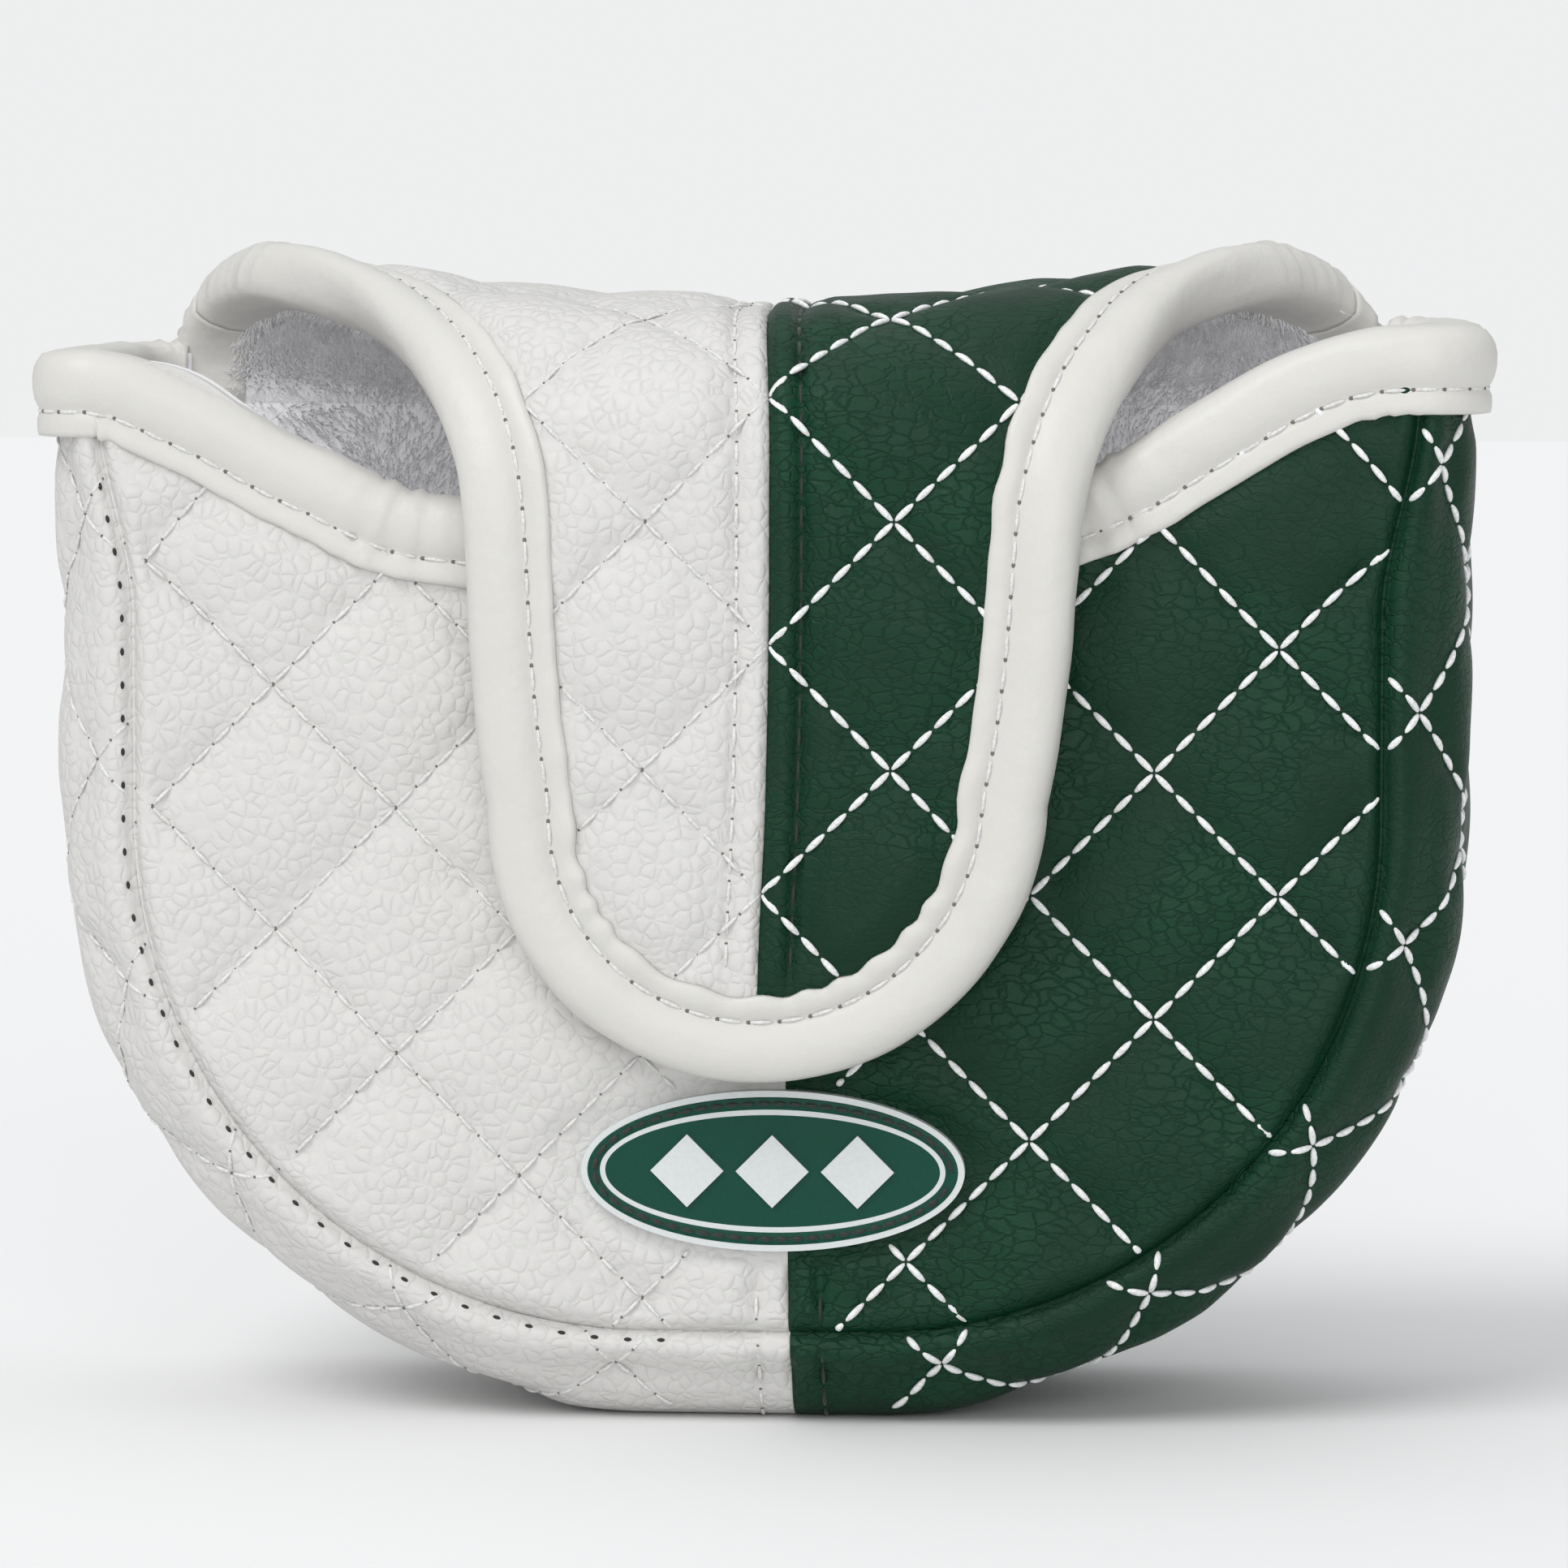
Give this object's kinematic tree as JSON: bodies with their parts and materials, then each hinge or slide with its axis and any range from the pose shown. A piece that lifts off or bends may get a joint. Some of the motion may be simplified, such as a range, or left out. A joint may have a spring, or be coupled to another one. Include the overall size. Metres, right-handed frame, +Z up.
{
  "type": "putter head cover",
  "caption": "Quilted two-tone putter cover for a mallet head: a padded pouch with a rounded bottom, closed by a folding flap with a tongue down the front.",
  "frame": {"origin": "middle of the footprint of the whole cover, at the height of its lowest point", "axes": "+X across the cover towards the green half, +Y from the flap side to the back, +Z up out of the pouch's mouth"},
  "size_m": [0.144, 0.054, 0.115],
  "materials": {
    "white_leatherette": "satin, pebble grain",
    "green_leatherette": "satin, fine creased grain",
    "binding_leatherette": "satin, smooth",
    "foam": "soft foam",
    "plush": "short plush",
    "badge_light": "soft satin",
    "badge_green": "soft satin",
    "magnet_plate": "plated"
  },
  "bodies": {
    "pouch": {"front_shell_white": "white_leatherette", "front_shell_green": "green_leatherette", "back_shell_white": "white_leatherette", "back_shell_green": "green_leatherette", "gusset_shell_white": "white_leatherette", "gusset_shell_green": "green_leatherette", "front_padding": "foam", "back_padding": "foam", "gusset_padding": "foam", "front_lining": "plush", "back_lining": "plush", "gusset_lining": "plush", "mouth_binding": "binding_leatherette", "badge_base": "badge_light", "badge_field": "badge_green", "badge_emblem": "badge_light", "front_magnet_left": "magnet_plate", "front_magnet_right": "magnet_plate"},
    "flap_crown": {"crown_shell_white": "white_leatherette", "crown_shell_green": "green_leatherette", "crown_padding": "foam", "crown_lining": "plush", "crown_binding_left": "binding_leatherette", "crown_binding_right": "binding_leatherette"},
    "flap_tongue": {"tongue_shell_white": "white_leatherette", "tongue_shell_green": "green_leatherette", "tongue_padding": "foam", "tongue_lining": "plush", "tongue_binding": "binding_leatherette", "tongue_magnet_left": "magnet_plate", "tongue_magnet_right": "magnet_plate"}
  },
  "joints": [
    {"name": "crown_fold", "type": "hinge", "parent": "pouch", "child": "flap_crown", "pos_m": [0, 0.027, 0.1], "axis": [-1, 0, 0], "range_deg": [0, 120]},
    {"name": "tongue_fold", "type": "hinge", "parent": "flap_crown", "child": "flap_tongue", "pos_m": [0.0015, -0.027, 0.096], "axis": [-1, 0, 0], "range_deg": [0, 110]}
  ]
}
